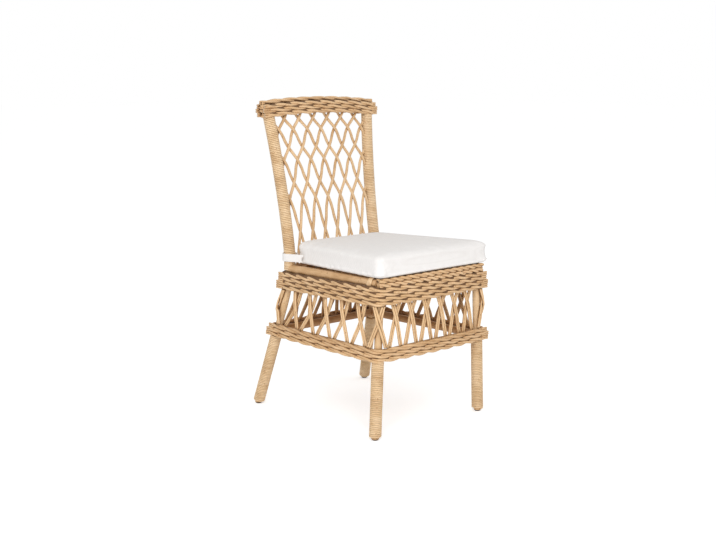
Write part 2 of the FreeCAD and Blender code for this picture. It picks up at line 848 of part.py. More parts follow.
def make_tie(side):
    """A fabric band from the cushion's back corner round a post, and back to the cushion."""
    post, _ = at_height(AXES[(side, "back")], tie_height)
    post = flat(post)
    depth = cushion_back_y - front_leg_y + cushion_overhang
    widening = (cushion_front_half_width - cushion_back_half_width) * tie_root_setback / depth
    root_x = cushion_back_half_width + widening - tie_root_inset
    root = Vector(side * root_x, cushion_back_y - tie_root_setback, 0)
    inside = wrapped_radius + tie_slack
    bands = []
    for thickness in (tie_thickness, 0):
        big, small = inside + thickness, tie_root_radius + thickness
        run = root - post
        angle = math.atan2(run.y, run.x)
        spread = math.acos((big - small) / run.Length)
        points = []
        for sign in (1, -1):
            ray = Vector(math.cos(angle + sign * spread), math.sin(angle + sign * spread), 0)
            points.append((post + ray * big, root + ray * small))
        away = unit(run)
        edges = [Part.Arc(points[0][0], post - away * big, points[1][0]).toShape(),
                 Part.LineSegment(points[1][0], points[1][1]).toShape(),
                 Part.Arc(points[1][1], root + away * small, points[0][1]).toShape(),
                 Part.LineSegment(points[0][1], points[0][0]).toShape()]
        bands.append(Part.Face(Part.Wire(edges)).extrude(UP * tie_width))
    band = bands[0].cut(bands[1])
    band.translate(UP * (tie_height - tie_width / 2))
    pieces = band.cut(cushion_body(touch_gap)).Solids
    return max(pieces, key=lambda piece: piece.Volume)


# Assembly

def build():
    nodes = {}
    gaps = []
    rails = {}
    screws = []
    rail_plan = [("front", (-1, "front"), (1, "front"), 1), ("back", (1, "back"), (-1, "back"), 1),
                 ("right", (1, "front"), (1, "back"), -1), ("left", (-1, "back"), (-1, "front"), -1)]
    seat_sockets, lower_sockets = [], []
    for name, first, second, rise in rail_plan:
        at_side = name in ("left", "right")
        if at_side:
            height, radius, outset = side_rail_height, side_rail_radius, side_rail_outset
        else:
            height, radius, outset = seat_rail_height, seat_rail_radius, 0.0
        rails[name + "_seat_rail"], held = make_rail(
            first, second, height, True, radius, outset,
            rise * screw_stagger, seat_sockets if at_side else [])
        screws += [(*screw, name + "_seat_rail") for screw in held]
        rails[name + "_lower_rail"], held = make_rail(
            first, second, lower_rail_height, False, lower_rail_radius, -lower_rail_inset,
            rise * screw_stagger, lower_sockets if at_side else [])
        screws += [(*screw, name + "_lower_rail") for screw in held]
        seat_sockets.append(rail_socket(first, second, height, True, radius, outset))
        lower_sockets.append(
            rail_socket(first, second, lower_rail_height, False, lower_rail_radius, -lower_rail_inset))
    rails["top_rail"], held = make_top_rail()
    screws += [(*screw, "top_rail") for screw in held]

    bodies = [screw_body(head, inward, 0.0) for _, head, inward, _ in screws]
    holes = [screw_body(head, inward, touch_gap / 2) for _, head, inward, _ in screws]
    nodes["frame_screws"] = [body for body, _ in bodies]
    for rail_name, rail in rails.items():
        drilled = [hole for (hole, _), screw in zip(holes, screws) if screw[3] == rail_name]
        nodes[rail_name] = rail.cut(drilled).Solids

    glides = []
    for corner in CORNERS:
        side, end = corner
        glides.append(make_glide(corner, 0.0))
        cutters = [make_glide(corner, touch_gap / 2)]
        for (hole, mouth), screw in zip(holes, screws):
            if screw[0] == corner:
                cutters += [hole, mouth]
        pole = make_pole(corner).cut(cutters)
        label = "front_leg_" if end == "front" else "back_post_"
        nodes[label + SIDE_NAMES[side]] = [max(pole.Solids, key=lambda piece: piece.Volume)]
    nodes["foot_glides"] = glides

    for corner in CORNERS:
        side, end = corner
        axis = AXES[corner]
        begin = binding_start / at_height(axis, binding_start)[1].z
        finish = begin + binding_loops * binding_pitch
        coil, gap = winding(axis, begin, finish, binding_loops, binding_radius, binding_strand)
        nodes[end + "_leg_binding_" + SIDE_NAMES[side]] = [coil]
        gaps.append(gap)

    for side in (-1, 1):
        axis = AXES[(side, "back")]
        begin = distance_at_height(axis, post_binding_bottom)
        finish = distance_at_height(axis, post_binding_top)
        coil, gap = winding(axis, begin, finish, binding_loops, binding_radius, binding_strand)
        nodes["back_post_binding_" + SIDE_NAMES[side]] = [coil]
        gaps.append(gap)

    for name in SKIRT_SIDES:
        nodes["upper_braid_" + name] = make_skirt_braid(
            name, upper_braid_bottom, upper_braid_rows, braid_turns, True)
        nodes["lower_braid_" + name] = make_skirt_braid(
            name, lower_braid_bottom, lower_braid_rows, braid_turns, False)
    nodes["front_border_braid"] = make_skirt_braid("front", border_bottom, border_rows, border_turns, True)
    nodes["top_braid_front"] = make_top_braid(Vector(0, -1, 0))
    nodes["top_braid_back"] = make_top_braid(Vector(0, 1, 0))
    nodes["top_braid_cap"] = make_cap_braid()

    units = {"front": skirt_units_front, "right": skirt_units_side,
             "back": skirt_units_front, "left": skirt_units_side}
    lengths = {name: path_length(skirt_run(name, skirt_crossing_height, True, braid_offset)) for name in units}
    for name in units:
        nodes["skirt_canes_" + name] = make_skirt_canes(name, units[name])
    for before, after, corner in (("left", "front", "front_left"), ("front", "right", "front_right"),
                                  ("right", "back", "back_right"), ("back", "left", "back_left")):
        nodes["corner_canes_" + corner] = make_corner_canes(
            before, after, lengths[before] / units[before], lengths[after] / units[after])

    nodes["back_lattice_rising_right"] = make_lattice_canes(1)
    nodes["back_lattice_rising_left"] = make_lattice_canes(-1)

    nodes["seat_slats"] = make_slats()
    nodes["seat_wefts"] = make_wefts()
    for side in (-1, 1):
        coil, gap = make_rail_binding(side)
        nodes["seat_rail_binding_" + SIDE_NAMES[side]] = [coil]
        gaps.append(gap)

    shell = cushion_body(0.0).cut(cushion_body(-cover_thickness))
    nodes["cushion_cover"] = shell.Solids
    nodes["cushion_foam"] = [cushion_body(-cover_thickness - touch_gap)]
    for side in (-1, 1):
        nodes["cushion_tie_" + SIDE_NAMES[side]] = [make_tie(side)]
    return nodes, gaps


if __name__ == "__main__":
    os.makedirs("parts", exist_ok=True)
    parts, measured = build()
    for name, solids in parts.items():
        Part.makeCompound(solids).exportStep("parts/" + name + ".step")
        print(name, len(solids), all(solid.isValid() for solid in solids))
    print("least gap of a winding to itself, mm:", round(min(measured), 2))
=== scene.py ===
import math

import bpy
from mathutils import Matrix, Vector


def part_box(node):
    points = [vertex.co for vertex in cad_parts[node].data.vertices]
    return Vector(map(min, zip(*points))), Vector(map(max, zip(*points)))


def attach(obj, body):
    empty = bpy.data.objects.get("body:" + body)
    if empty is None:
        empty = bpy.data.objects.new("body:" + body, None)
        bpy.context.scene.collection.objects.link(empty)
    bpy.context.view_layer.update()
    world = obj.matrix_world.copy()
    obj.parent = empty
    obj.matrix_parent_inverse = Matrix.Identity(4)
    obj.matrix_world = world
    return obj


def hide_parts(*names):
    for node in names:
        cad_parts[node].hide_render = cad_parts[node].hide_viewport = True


bl_info = {
    "name": "Rattan Chair Dressing",
    "version": (1, 0, 0),
    "blender": (4, 5, 0),
    "location": "View3D > Sidebar > Rattan Chair",
    "description": "Dresses the rattan chair with canes, bindings, braids and its tied cushion",
    "category": "Object",
}

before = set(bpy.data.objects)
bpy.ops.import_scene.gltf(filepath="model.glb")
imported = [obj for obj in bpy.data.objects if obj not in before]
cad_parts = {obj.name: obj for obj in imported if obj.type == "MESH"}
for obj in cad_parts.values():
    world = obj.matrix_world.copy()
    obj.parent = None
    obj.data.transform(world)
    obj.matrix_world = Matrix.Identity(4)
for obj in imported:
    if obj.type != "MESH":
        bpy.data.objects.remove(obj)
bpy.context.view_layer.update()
SIDES = ("front", "right", "back", "left")
CORNERS = ("front_left", "front_right", "back_right", "back_left")
HANDS = (("left", -1), ("right", 1))


class RattanSizes(bpy.types.PropertyGroup):
    leg_turns: bpy.props.IntProperty(
        name="Leg turns", description="Turns of cane bound round each leg under the rings",
        default=42)
    post_turns: bpy.props.IntProperty(
        name="Post turns", description="Turns of cane bound round each back post over the seat",
        default=93)
    binding_start: bpy.props.FloatProperty(
        name="Binding start", description="How far up from its foot a leg's binding starts",
        default=0.007, unit="LENGTH")
    binding_pitch: bpy.props.FloatProperty(
        name="Binding pitch", description="Rise of the bound cane in one turn round a pole",
        default=0.005, unit="LENGTH")
    binding_outside: bpy.props.FloatProperty(
        name="Binding outside radius", description="Radius of a bound pole over its cane",
        default=0.0167, unit="LENGTH")
    binding_depth: bpy.props.FloatProperty(
        name="Binding depth", description="Depth of the bound cane from its face to the pole",
        default=0.0055, unit="LENGTH")
    strand_swell: bpy.props.FloatProperty(
        name="Strand swell", description="How much the braid strands press out against each other",
        default=0.0009, unit="LENGTH")
    braid_row_step: bpy.props.FloatProperty(
        name="Braid row step", description="Rise from one row of a braid to the next",
        default=0.012, unit="LENGTH")
    braid_lump: bpy.props.FloatProperty(
        name="Braid lump length", description="Length of the natural lumps on a braid's strands",
        default=0.02, unit="LENGTH")
    top_rail_shade: bpy.props.FloatProperty(
        name="Top rail shade", description="How near a strand of the top rail or border shades the next",
        default=0.010, unit="LENGTH")
    core_voxel: bpy.props.FloatProperty(
        name="Core voxel", description="Cell size of a braid's inside before it is drawn in",
        default=0.003, unit="LENGTH")
    core_closing: bpy.props.FloatProperty(
        name="Core closing", description="Widest gap between strands that a braid's inside fills, halved",
        default=0.0025, unit="LENGTH")
    core_depth: bpy.props.FloatProperty(
        name="Core depth", description="How far a braid's inside lies under its strands",
        default=0.0016, unit="LENGTH")
    core_rise: bpy.props.FloatProperty(
        name="Core rise", description="How far a braid's inside stands out towards what lies beside it",
        default=0.004, unit="LENGTH")
    lattice_swell: bpy.props.FloatProperty(
        name="Lattice swell", description="Bark left on the canes of the back, which makes them thicker",
        default=0.0007, unit="LENGTH")
    cane_unevenness: bpy.props.FloatProperty(
        name="Cane unevenness", description="Height of the natural lumps along a cane",
        default=0.0012, unit="LENGTH")
    cane_lump: bpy.props.FloatProperty(
        name="Cane lump length", description="Length of the natural lumps along an open cane",
        default=0.025, unit="LENGTH")
    cane_shade: bpy.props.FloatProperty(
        name="Cane shade", description="How near a cane of the rings, skirt or back shades the next",
        default=0.012, unit="LENGTH")
    binding_shade: bpy.props.FloatProperty(
        name="Binding shade", description="How near a turn of a binding shades the next",
        default=0.003, unit="LENGTH")
    cover_thickness: bpy.props.FloatProperty(
        name="Cover thickness", description="Cloth and slack between the filling and the cover's face",
        default=0.0014, unit="LENGTH")
    cushion_voxel: bpy.props.FloatProperty(
        name="Cushion voxel", description="Cell size of the cushion before it is puffed",
        default=0.005, unit="LENGTH")
    cushion_swell: bpy.props.FloatProperty(
        name="Cushion swell", description="Most that the filling may push the cover out",
        default=0.006, unit="LENGTH")
    cushion_rim: bpy.props.FloatProperty(
        name="Cushion rim height", description="Height of the cushion's upper edge over its base",
        default=0.052, unit="LENGTH")
    cushion_rim_lift: bpy.props.FloatProperty(
        name="Cushion rim lift", description="How much the boxed edge holds the rim up",
        default=0.006, unit="LENGTH")
    cushion_pressure: bpy.props.FloatProperty(
        name="Cushion pressure", description="How hard the filling presses on the cover",
        default=4.0)
    rail_wrap_turns: bpy.props.IntProperty(
        name="Rail wrap turns", description="Turns of cane round the front end of a side rail",
        default=4)
    rail_wrap_pitch: bpy.props.FloatProperty(
        name="Rail wrap pitch", description="Step of the few turns round the front end of a side rail",
        default=0.004, unit="LENGTH")
    rail_wrap_outside: bpy.props.FloatProperty(
        name="Rail wrap outside radius", description="Radius of a side rail over those turns",
        default=0.01545, unit="LENGTH")
    rail_wrap_depth: bpy.props.FloatProperty(
        name="Rail wrap depth", description="Depth of the cane in those turns",
        default=0.0025, unit="LENGTH")
    cut_end_reach: bpy.props.FloatProperty(
        name="Cut end reach", description="How far a braid's strands run on past the corner leg",
        default=0.024, unit="LENGTH")
    top_end_reach: bpy.props.FloatProperty(
        name="Top end reach", description="How far the top braid's strands run on past the posts",
        default=0.021, unit="LENGTH")
    cut_end_step: bpy.props.FloatProperty(
        name="Cut end step", description="Least difference in length between strands cut unevenly",
        default=0.0022, unit="LENGTH")
    cut_end_radius: bpy.props.FloatProperty(
        name="Cut end radius", description="Radius of a strand where it is cut off",
        default=0.0031, unit="LENGTH")
    cut_end_outset: bpy.props.FloatProperty(
        name="Cut end outset", description="Distance of a cut strand from the centre of the pole beside it",
        default=0.0166, unit="LENGTH")
    cut_end_spacing: bpy.props.FloatProperty(
        name="Cut end spacing", description="Height of a pair's two strands over and under its row",
        default=0.003, unit="LENGTH")
    tie_lump: bpy.props.FloatProperty(
        name="Tie fold length", description="Length of the soft folds in the cushion's ties",
        default=0.014, unit="LENGTH")
    tie_fold: bpy.props.FloatProperty(
        name="Tie folds", description="Depth of the soft folds in the cushion's ties",
        default=0.0006, unit="LENGTH")


class RattanColours(bpy.types.PropertyGroup):
    pale_cane: bpy.props.FloatVectorProperty(
        name="Pale cane", description="Lightest peeled cane", subtype="COLOR",
        default=(0.90, 0.68, 0.44))
    honey_cane: bpy.props.FloatVectorProperty(
        name="Honey cane", description="Usual cane", subtype="COLOR",
        default=(0.80, 0.57, 0.33))
    tan_cane: bpy.props.FloatVectorProperty(
        name="Tan cane", description="Darkest cane", subtype="COLOR",
        default=(0.63, 0.41, 0.215))
    braid_tint: bpy.props.FloatVectorProperty(
        name="Braid tint", description="Warmth of the braids against bound poles", subtype="COLOR",
        default=(0.88, 0.81, 0.74))
    skirt_tint: bpy.props.FloatVectorProperty(
        name="Skirt tint", description="Warmth of the skirt's canes against bound poles", subtype="COLOR",
        default=(0.95, 0.90, 0.84))
    lattice_tint: bpy.props.FloatVectorProperty(
        name="Lattice tint", description="Warmth of the back's canes against bound poles", subtype="COLOR",
        default=(0.88, 0.83, 0.77))
    # Painted shade: the colour that ambient occlusion lays into the crevices between canes
    shade: bpy.props.FloatVectorProperty(
        name="Crevice", description="Dust and shade between canes", subtype="COLOR",
        default=(0.10, 0.045, 0.016))
    # Painted shade on faces turned into the chair, standing for the shadow inside the skirt
    inside: bpy.props.FloatVectorProperty(
        name="Inside", description="Unpolished cane on the inside of the skirt", subtype="COLOR",
        default=(0.60, 0.46, 0.33))
    mark: bpy.props.FloatVectorProperty(
        name="Mark", description="Small scars and leaf marks on a cane", subtype="COLOR",
        default=(0.45, 0.27, 0.16))
    cut_end: bpy.props.FloatVectorProperty(
        name="Cut end", description="End grain of a cut strand", subtype="COLOR",
        default=(0.62, 0.46, 0.31))
    # Painted shade: the dark band laid under a braid's strands, which shows in the gaps between them
    braid_painted_shade: bpy.props.FloatVectorProperty(
        name="Braid inside", description="Shaded cane inside a braid", subtype="COLOR",
        default=(0.19, 0.10, 0.045))
    glide: bpy.props.FloatVectorProperty(
        name="Glide", description="Brown plastic of the foot glides", subtype="COLOR",
        default=(0.10, 0.06, 0.035))
    screw: bpy.props.FloatVectorProperty(
        name="Screw", description="Browned metal of the frame screws", subtype="COLOR",
        default=(0.27, 0.17, 0.09))
    cloth: bpy.props.FloatVectorProperty(
        name="Cushion cloth", description="Off-white cushion cover", subtype="COLOR",
        default=(0.92, 0.895, 0.875))


# Points on the centre line of the right back post: foot, knee, seat, waist, shoulder and top
POST_LINE = ((0.2135, 0.2540, 0.0), (0.1775, 0.1685, 0.310), (0.1693, 0.1557, 0.404),
             (0.1670, 0.1615, 0.480), (0.1756, 0.1964, 0.700), (0.1935, 0.2235, 0.8736))

# Points on the centre line of the right front leg: foot and seat
LEG_LINE = ((0.2035, -0.2376, 0.0), (0.1860, -0.2376, 0.421))

# Heights where the binding of a back post is bent, and the way that the right post runs there
POST_BENDS = ((0.404, (-0.059, -0.007, 1.0)), (0.480, (0.0, 0.16, 1.0)), (0.8736, (0.13, 0.155, 1.0)))

# Fall of the seat and inward run of its side rails for each metre to the back, and the seat's depth
SEAT_FALL = 0.027
RAIL_INWARD = 0.0375
SEAT_DEPTH = 0.401

# Heights of the lowest row of each ring at the front legs, and of the top rail's lowest row
UPPER_RING_ROW = 0.3678
LOWER_RING_ROW = 0.2178
TOP_RAIL_ROW = 0.8438

# Corners under this distance apart are one, and edges under these angles are shaded smooth
WELD_DISTANCE = 1e-5
CANE_SMOOTH = math.radians(50)
CUT_END_SMOOTH = math.radians(40)
STRIP_SMOOTH = math.radians(60)

# A wound strip: share of the pitch that it covers, share that its rounded edge takes, steps in a turn
STRIP_COVER = 0.95
STRIP_ROUNDING = 0.26
STRIP_STEPS = 24

# The studio: floor, light from all round, lamps by name, place, size and power, and the camera
FLOOR_SIZE = 60.0
FLOOR_TONE = 0.92
FLOOR_GLOW = 0.45
ROUND_LIGHT = 0.6
LAMPS = (("key_light", (-2.3, -2.3, 1.9), 2.0, 68.0), ("fill_light", (2.6, -1.0, 2.0), 2.2, 8.0))
LAMP_AIM = (0.0, 0.0, 0.45)
CAMERA_PLACE = (-2.223, -2.3666, 0.954)
CAMERA_AIM = (-0.0007, 0.050, 0.3987)
CAMERA_LENS = 57.81
SENSOR_WIDTH = 36.0

WHITE = (1.0, 1.0, 1.0)


# Small helpers

def deselect_all():
    if bpy.context.object and bpy.context.object.mode != "OBJECT":
        bpy.ops.object.mode_set(mode="OBJECT")
    bpy.ops.object.select_all(action="DESELECT")


def make_active(piece):
    deselect_all()
    piece.select_set(True)
    bpy.context.view_layer.objects.active = piece


def edit_all(piece):
    """Opens a piece in edit mode with all of it selected."""
    make_active(piece)
    bpy.ops.object.mode_set(mode="EDIT")
    bpy.ops.mesh.select_all(action="SELECT")


def apply_modifiers(piece):
    make_active(piece)
    for modifier in list(piece.modifiers):
        bpy.ops.object.modifier_apply(modifier=modifier.name)


def copy_node(node, name):
    """A copy of a solid's surface with its triangles joined into smooth skins."""
    piece = bpy.data.objects.new(name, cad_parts[node].data.copy())
    piece.data.materials.clear()
    bpy.context.collection.objects.link(piece)
    edit_all(piece)
    bpy.ops.mesh.remove_doubles(threshold=WELD_DISTANCE)
    bpy.ops.object.mode_set(mode="OBJECT")
    bpy.ops.object.shade_smooth_by_angle(angle=CANE_SMOOTH)
    return piece


def roughen(piece, height, size):
    """Gives a surface the slow lumps of a grown cane."""
    lumps = bpy.data.textures.new(piece.name + "_lumps", "CLOUDS")
    lumps.noise_scale = size
    modifier = piece.modifiers.new("Lumps", "DISPLACE")
    modifier.texture = lumps
    modifier.texture_coords = "LOCAL"
    modifier.strength = height
    modifier.mid_level = 0.5


def swell(piece, amount):
    """Moves a surface out by an amount, or in where it is below nought."""
    modifier = piece.modifiers.new("Swell", "DISPLACE")
    modifier.strength = amount
    modifier.mid_level = 0.0


def put(piece, body, slot, material, *nodes):
    """Gives a finished piece its finish, hangs it on its body and hides the solids that it stands for."""
    piece.data.materials.clear()
    piece.data.materials.append(material)
    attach(piece, body)
    if nodes:
        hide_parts(*nodes)


# Materials

def grey(level):
    return (level, level, level)


def new_material(name):
    material = bpy.data.materials.new(name)
    material.use_nodes = True
    tree = material.node_tree
    return material, tree, tree.nodes["Principled BSDF"]


def add(tree, kind, **values):
    """Adds a node and sets its sockets or settings by name."""
    node = tree.nodes.new(kind)
    for key, value in values.items():
        if key in node.inputs:
            node.inputs[key].default_value = value
        else:
            setattr(node, key, value)
    return node


def ramp(tree, factor, stops):
    """Turns a factor into colours, given as places with colours."""
    node = tree.nodes.new("ShaderNodeValToRGB")
    elements = node.color_ramp.elements
    while len(elements) < len(stops):
        elements.new(0.5)
    for element, (place, colour) in zip(elements, stops):
        element.position = place
        element.color = (*colour, 1.0)
    tree.links.new(factor, node.inputs["Fac"])
    return node.outputs["Color"]


def mix(tree, blend, amount, first, second):
    """Blends two colours or sockets by an amount or a socket."""
    node = tree.nodes.new("ShaderNodeMix")
    node.data_type = "RGBA"
    node.blend_type = blend
    if isinstance(amount, float):
        node.inputs["Factor"].default_value = amount
    else:
        tree.links.new(amount, node.inputs["Factor"])
    for value, socket in ((first, node.inputs["A"]), (second, node.inputs["B"])):
        if isinstance(value, tuple):
            socket.default_value = (*value, 1.0)
        else:
            tree.links.new(value, socket)
    return node.outputs["Result"]


def inside_shade_mask(tree, coords, normal):
    """One where a surface faces the middle of the chair, nought where it faces out: the mask of the painted
    shade inside the skirt.
    """
    faces_out, faces_in = 0.05, -0.45
    flat = add(tree, "ShaderNodeVectorMath", operation="MULTIPLY")
    flat.inputs[1].default_value = (1.0, 1.0, 0.0)
    tree.links.new(coords, flat.inputs[0])
    out = add(tree, "ShaderNodeVectorMath", operation="NORMALIZE")
    tree.links.new(flat.outputs["Vector"], out.inputs[0])
    facing = add(tree, "ShaderNodeVectorMath", operation="DOT_PRODUCT")
    tree.links.new(out.outputs["Vector"], facing.inputs[0])
    tree.links.new(normal, facing.inputs[1])
    level = add(tree, "ShaderNodeMapRange")
    level.inputs["From Min"].default_value = faces_out
    level.inputs["From Max"].default_value = faces_in
    tree.links.new(facing.outputs["Value"], level.inputs["Value"])
    return level.outputs["Result"]


def cane_material(name, grain, shade_reach, tint, turn=0.0, paint_inside_shade=False):
    """Natural cane: each strand its own tone, streaked along its length, with painted shade in the crevices
    and, where asked, on faces turned into the chair.
    """
    colours = bpy.context.scene.rattan_colours
    material, tree, shader = new_material(name)
    coords = add(tree, "ShaderNodeTexCoord").outputs["Object"]
    geometry = add(tree, "ShaderNodeNewGeometry")
    pale, honey, tan = tuple(colours.pale_cane), tuple(colours.honey_cane), tuple(colours.tan_cane)
    pick = geometry.outputs["Random Per Island"]
    if turn:
        split = add(tree, "ShaderNodeSeparateXYZ")
        tree.links.new(coords, split.inputs["Vector"])
        steps = add(tree, "ShaderNodeMath", operation="SNAP")
        steps.inputs[1].default_value = turn
        tree.links.new(split.outputs["Z"], steps.inputs[0])
        by_turn = add(tree, "ShaderNodeTexWhiteNoise", noise_dimensions="1D")
        tree.links.new(steps.outputs[0], by_turn.inputs["W"])
        pick = by_turn.outputs["Value"]
    strand = ramp(tree, pick, [(0.0, honey), (0.3, pale), (0.55, honey), (0.8, tan), (1.0, pale)])
    patches = add(tree, "ShaderNodeTexNoise", Scale=22.0, Detail=3.0)
    tree.links.new(coords, patches.inputs["Vector"])
    tone = ramp(tree, patches.outputs["Fac"], [(0.3, tan), (0.48, honey), (0.66, pale)])
    patch_share = 0.65 if turn else 0.5
    base = mix(tree, "MIX", patch_share, strand, tone)
    base = mix(tree, "MULTIPLY", 1.0, base, tuple(tint))
    mapping = add(tree, "ShaderNodeMapping", Scale=grain)
    tree.links.new(coords, mapping.inputs["Vector"])
    streaks = add(tree, "ShaderNodeTexNoise", Scale=1.0, Detail=5.0, Roughness=0.65)
    tree.links.new(mapping.outputs["Vector"], streaks.inputs["Vector"])
    streak_tone = ramp(tree, streaks.outputs["Fac"],
                       [(0.30, (0.70, 0.60, 0.50)), (0.5, (0.97, 0.96, 0.95)), (0.7, WHITE)])
    base = mix(tree, "MULTIPLY", 0.7, base, streak_tone)
    scars = add(tree, "ShaderNodeTexNoise", Scale=150.0, Detail=2.0)
    tree.links.new(coords, scars.inputs["Vector"])
    scar_tone = ramp(tree, scars.outputs["Fac"], [(0.27, tuple(colours.mark)), (0.33, WHITE)])
    base = mix(tree, "MULTIPLY", 0.8, base, scar_tone)
    # Painted shade: ambient occlusion darkens the colour towards the crevice colour where canes lie close
    painted_crevice_shade = add(tree, "ShaderNodeAmbientOcclusion", Distance=shade_reach)
    painted_crevice_shade.samples = 8
    depth = ramp(tree, painted_crevice_shade.outputs["AO"],
                 [(0.2, tuple(colours.shade)), (0.55, (0.84, 0.74, 0.62)), (0.85, WHITE)])
    base = mix(tree, "MULTIPLY", 0.85, base, depth)
    # Painted shade on faces turned towards the middle of the chair, for the shadow inside the skirt
    if paint_inside_shade:
        painted_inside_shade = inside_shade_mask(tree, coords, geometry.outputs["Normal"])
        base = mix(tree, "MULTIPLY", painted_inside_shade, base, tuple(colours.inside))
    tree.links.new(base, shader.inputs["Base Color"])
    gloss = ramp(tree, streaks.outputs["Fac"], [(0.3, grey(0.62)), (0.75, grey(0.42))])
    tree.links.new(gloss, shader.inputs["Roughness"])
    shader.inputs["Specular IOR Level"].default_value = 0.35
    bump = add(tree, "ShaderNodeBump", Strength=0.35, Distance=0.0006)
    tree.links.new(streaks.outputs["Fac"], bump.inputs["Height"])
    tree.links.new(bump.outputs["Normal"], shader.inputs["Normal"])
    return material


def cloth_material(name):
    """Off-white plain-weave cotton."""
    colours = bpy.context.scene.rattan_colours
    cloth = tuple(colours.cloth)
    material, tree, shader = new_material(name)
    coords = add(tree, "ShaderNodeTexCoord").outputs["Object"]
    threads = []
    for axis in ("X", "Y"):
        wave = add(tree, "ShaderNodeTexWave", Scale=230.0, Distortion=0.6, Detail=1.0)
        wave.bands_direction = axis
        tree.links.new(coords, wave.inputs["Vector"])
        threads.append(wave.outputs["Fac"])
    weave = mix(tree, "MULTIPLY", 1.0, threads[0], threads[1])
    slubs = add(tree, "ShaderNodeTexNoise", Scale=60.0, Detail=4.0)
    tree.links.new(coords, slubs.inputs["Vector"])
    dim = tuple(channel * 0.93 for channel in cloth)
    base = mix(tree, "MIX", slubs.outputs["Fac"], dim, cloth)
    thread_tone = ramp(tree, weave, [(0.0, (0.955, 0.95, 0.945)), (0.5, WHITE)])
    base = mix(tree, "MULTIPLY", 1.0, base, thread_tone)
    tree.links.new(base, shader.inputs["Base Color"])
    shader.inputs["Roughness"].default_value = 0.9
    shader.inputs["Specular IOR Level"].default_value = 0.15
    shader.inputs["Sheen Weight"].default_value = 0.15
    bump = add(tree, "ShaderNodeBump", Strength=0.25, Distance=0.0005)
    tree.links.new(weave, bump.inputs["Height"])
    tree.links.new(bump.outputs["Normal"], shader.inputs["Normal"])
    return material


def plain_material(name, colour, roughness, metallic=0.0):
    """A plain finish with faint mottling."""
    colour = tuple(colour)
    material, tree, shader = new_material(name)
    coords = add(tree, "ShaderNodeTexCoord").outputs["Object"]
    mottle = add(tree, "ShaderNodeTexNoise", Scale=180.0, Detail=3.0)
    tree.links.new(coords, mottle.inputs["Vector"])
    dark = tuple(channel * 0.75 for channel in colour)
    base = mix(tree, "MIX", mottle.outputs["Fac"], dark, colour)
    tree.links.new(base, shader.inputs["Base Color"])
    shader.inputs["Roughness"].default_value = roughness
    shader.inputs["Metallic"].default_value = metallic
    return material


# Scales of the streaks in a cane, long the way that it runs and fine across it
GRAIN_X = (35.0, 420.0, 420.0)
GRAIN_Y = (420.0, 35.0, 420.0)
GRAIN_Z = (420.0, 420.0, 35.0)
GRAIN_TURN = (60.0, 60.0, 330.0)
materials = {}


class RATTAN_OT_finishes(bpy.types.Operator):
    """Makes the finishes of cane, cloth and fittings"""
    bl_idname = "rattan.finishes"
    bl_label = "Finishes"

    def execute(self, context):
        sizes = context.scene.rattan_sizes
        colours = context.scene.rattan_colours
        braid, skirt, lattice = colours.braid_tint, colours.skirt_tint, colours.lattice_tint
        materials["across"] = cane_material("cane_across", GRAIN_X, sizes.top_rail_shade, braid)
        # The skirt finishes carry painted shade on faces turned into the chair
        materials["skirt_across"] = cane_material(
            "skirt_cane_across", GRAIN_X, sizes.cane_shade, braid, paint_inside_shade=True)
        materials["skirt_deep"] = cane_material(
            "skirt_cane_front_to_back", GRAIN_Y, sizes.cane_shade, braid, paint_inside_shade=True)
        materials["skirt_upright"] = cane_material(
            "skirt_cane_upright", GRAIN_Z, sizes.cane_shade, skirt, paint_inside_shade=True)
        materials["upright"] = cane_material("cane_upright", GRAIN_Z, sizes.cane_shade, lattice)
        materials["bound"] = cane_material(
            "cane_bound", GRAIN_TURN, sizes.binding_shade, WHITE, turn=sizes.binding_pitch)
        materials["cut"] = plain_material("cane_cut_end", colours.cut_end, roughness=0.9)
        materials["core"] = plain_material("braid_painted_shade", colours.braid_painted_shade, roughness=0.9)
        materials["cloth"] = cloth_material("cushion_cloth")
        materials["glide"] = plain_material("glide_plastic", colours.glide, roughness=0.6)
        materials["screw"] = plain_material("screw_bronze", colours.screw, roughness=0.55, metallic=0.5)
        return {"FINISHED"}


class RATTAN_OT_poles(bpy.types.Operator):
    """Finishes the poles, rails, slats and fittings of the frame"""
    bl_idname = "rattan.poles"
    bl_label = "Poles and Rails"

    def execute(self, context):
        finish = {"top_rail": "across", "seat_slats": "skirt_deep",
                  "foot_glides": "glide", "frame_screws": "screw"}
        for hand, _ in HANDS:
            finish["front_leg_" + hand] = "upright"
            finish["back_post_" + hand] = "upright"
        for side in SIDES:
            grain = "skirt_across" if side in ("front", "back") else "skirt_deep"
            finish[side + "_seat_rail"] = grain
            finish[side + "_lower_rail"] = grain
        for node, key in finish.items():
            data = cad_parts[node].data
            data.materials.clear()
            data.materials.append(materials[key])
        return {"FINISHED"}


def join_pieces(pieces, name):
    """Makes one object of several, which keep their own finishes."""
    deselect_all()
    for piece in pieces:
        piece.select_set(True)
    bpy.context.view_layer.objects.active = pieces[0]
    bpy.ops.object.join()
    bpy.context.object.name = name
    return bpy.context.object


def braid_painted_shade(node, sizes, rise):
    """The painted shade inside a braid: its strands closed into one band, drawn in under them and given the
    dark shade finish.
    """
    core = copy_node(node, node + "_inside")
    swell(core, sizes.core_closing)
    cells = core.modifiers.new("Cells", "REMESH")
    cells.mode = "VOXEL"
    cells.voxel_size = sizes.core_voxel
    swell(core, -sizes.core_closing - sizes.core_depth)
    apply_modifiers(core)
    core.location.z = rise
    bpy.ops.object.transform_apply(location=True, rotation=False, scale=False)
    core.data.materials.append(materials["core"])
    return core


